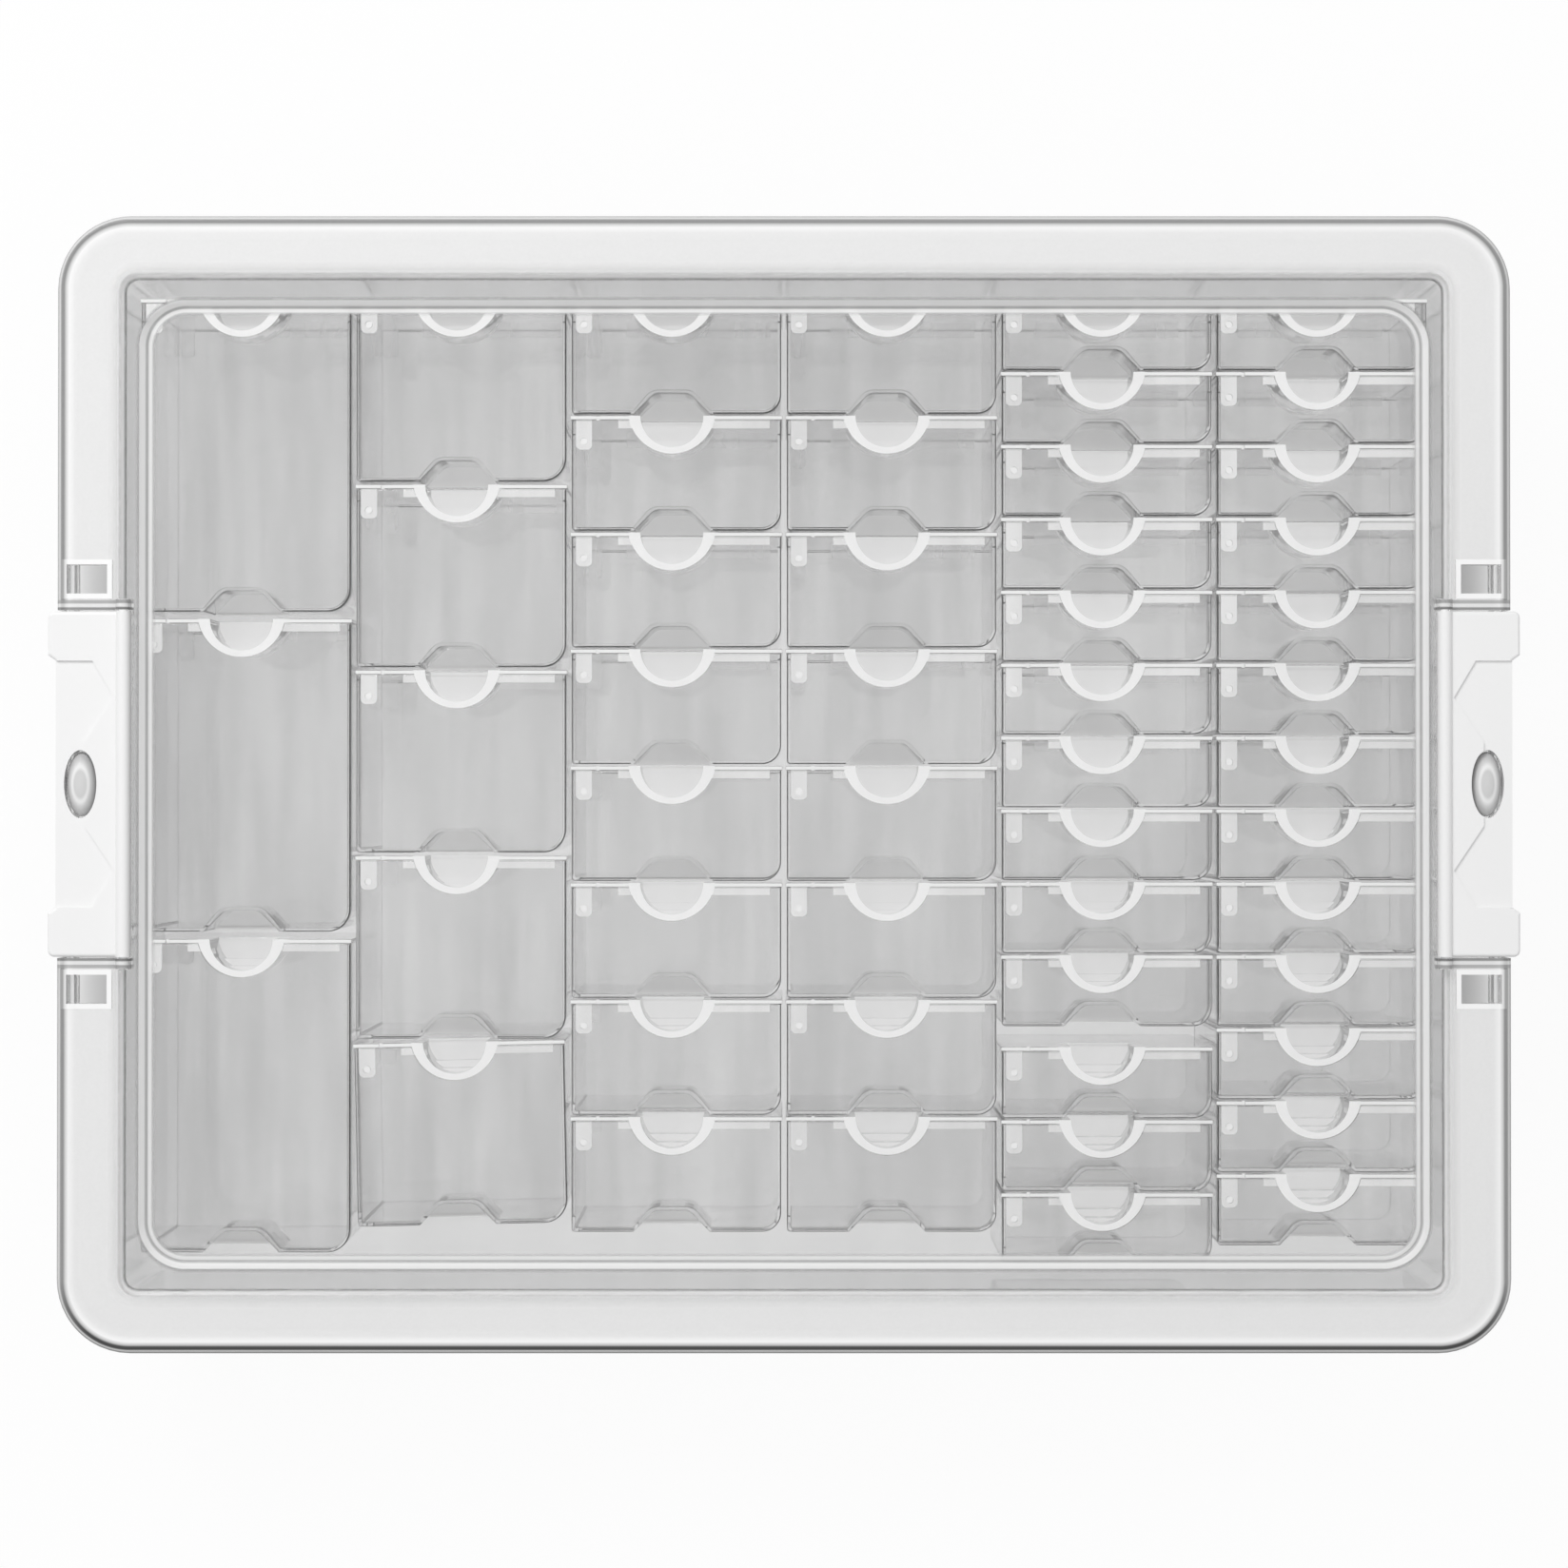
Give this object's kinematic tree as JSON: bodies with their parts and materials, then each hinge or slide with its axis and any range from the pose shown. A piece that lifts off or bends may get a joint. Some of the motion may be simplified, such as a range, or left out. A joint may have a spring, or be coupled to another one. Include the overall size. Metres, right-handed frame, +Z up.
{
  "type": "compartment organizer box",
  "caption": "Clear rectangular storage box with a lift-off latched lid and rows of hinged-lid clear containers standing on edge inside, for beads and sewing supplies.",
  "frame": {"origin": "centre of the tray's underside, on the surface that it stands on", "axes": "+X along the box's long side towards the right-hand latch, +Y towards the back side that the container lids face, +Z up through the lid"},
  "size_m": [0.349, 0.27, 0.0575],
  "materials": {
    "clear_tray": "clear moulded plastic, glossy",
    "clear_box_lid": "clear moulded plastic, glossy",
    "clear_container": "clear moulded plastic, glossy",
    "clear_container_lid": "clear moulded plastic, glossy",
    "white_latch": "opaque white moulded plastic, satin gloss"
  },
  "bodies": {
    "tray": {"large_container_1": "clear_container", "large_container_2": "clear_container", "large_container_3": "clear_container", "large_container_lid_1": "clear_container_lid", "large_container_lid_2": "clear_container_lid", "large_container_lid_3": "clear_container_lid", "medium_container_1": "clear_container", "medium_container_2": "clear_container", "medium_container_3": "clear_container", "medium_container_4": "clear_container", "medium_container_5": "clear_container", "medium_container_lid_1": "clear_container_lid", "medium_container_lid_2": "clear_container_lid", "medium_container_lid_3": "clear_container_lid", "medium_container_lid_4": "clear_container_lid", "medium_container_lid_5": "clear_container_lid", "small_container_a1": "clear_container", "small_container_a2": "clear_container", "small_container_a3": "clear_container", "small_container_a4": "clear_container", "small_container_a5": "clear_container", "small_container_a6": "clear_container", "small_container_a7": "clear_container", "small_container_a8": "clear_container", "small_container_b1": "clear_container", "small_container_b2": "clear_container", "small_container_b3": "clear_container", "small_container_b4": "clear_container", "small_container_b5": "clear_container", "small_container_b6": "clear_container", "small_container_b7": "clear_container", "small_container_b8": "clear_container", "small_container_lid_a1": "clear_container_lid", "small_container_lid_a2": "clear_container_lid", "small_container_lid_a3": "clear_container_lid", "small_container_lid_a4": "clear_container_lid", "small_container_lid_a5": "clear_container_lid", "small_container_lid_a6": "clear_container_lid", "small_container_lid_a7": "clear_container_lid", "small_container_lid_a8": "clear_container_lid", "small_container_lid_b1": "clear_container_lid", "small_container_lid_b2": "clear_container_lid", "small_container_lid_b3": "clear_container_lid", "small_container_lid_b4": "clear_container_lid", "small_container_lid_b5": "clear_container_lid", "small_container_lid_b6": "clear_container_lid", "small_container_lid_b7": "clear_container_lid", "small_container_lid_b8": "clear_container_lid", "tiny_container_lid_a1": "clear_container_lid", "tiny_container_lid_b1": "clear_container_lid", "tiny_container_lids_a": "clear_container_lid", "tiny_container_lids_b": "clear_container_lid", "tiny_containers_a": "clear_container", "tiny_containers_b": "clear_container", "tray": "clear_tray"},
    "box_lid": {"box_lid": "clear_box_lid"},
    "latch_left": {"latch_left": "white_latch"},
    "latch_right": {"latch_right": "white_latch"}
  },
  "joints": [
    {"name": "box_lid_lift", "type": "slide", "parent": "tray", "child": "box_lid", "axis": [0, 0, 1], "range_m": [0, 0.09]},
    {"name": "latch_left_swing", "type": "hinge", "parent": "box_lid", "child": "latch_left", "pos_m": [-0.1566, 0, 0.0556], "axis": [0, 1, 0], "range_deg": [0, 120]},
    {"name": "latch_right_swing", "type": "hinge", "parent": "box_lid", "child": "latch_right", "pos_m": [0.1566, 0, 0.0556], "axis": [0, -1, 0], "range_deg": [0, 120]}
  ]
}
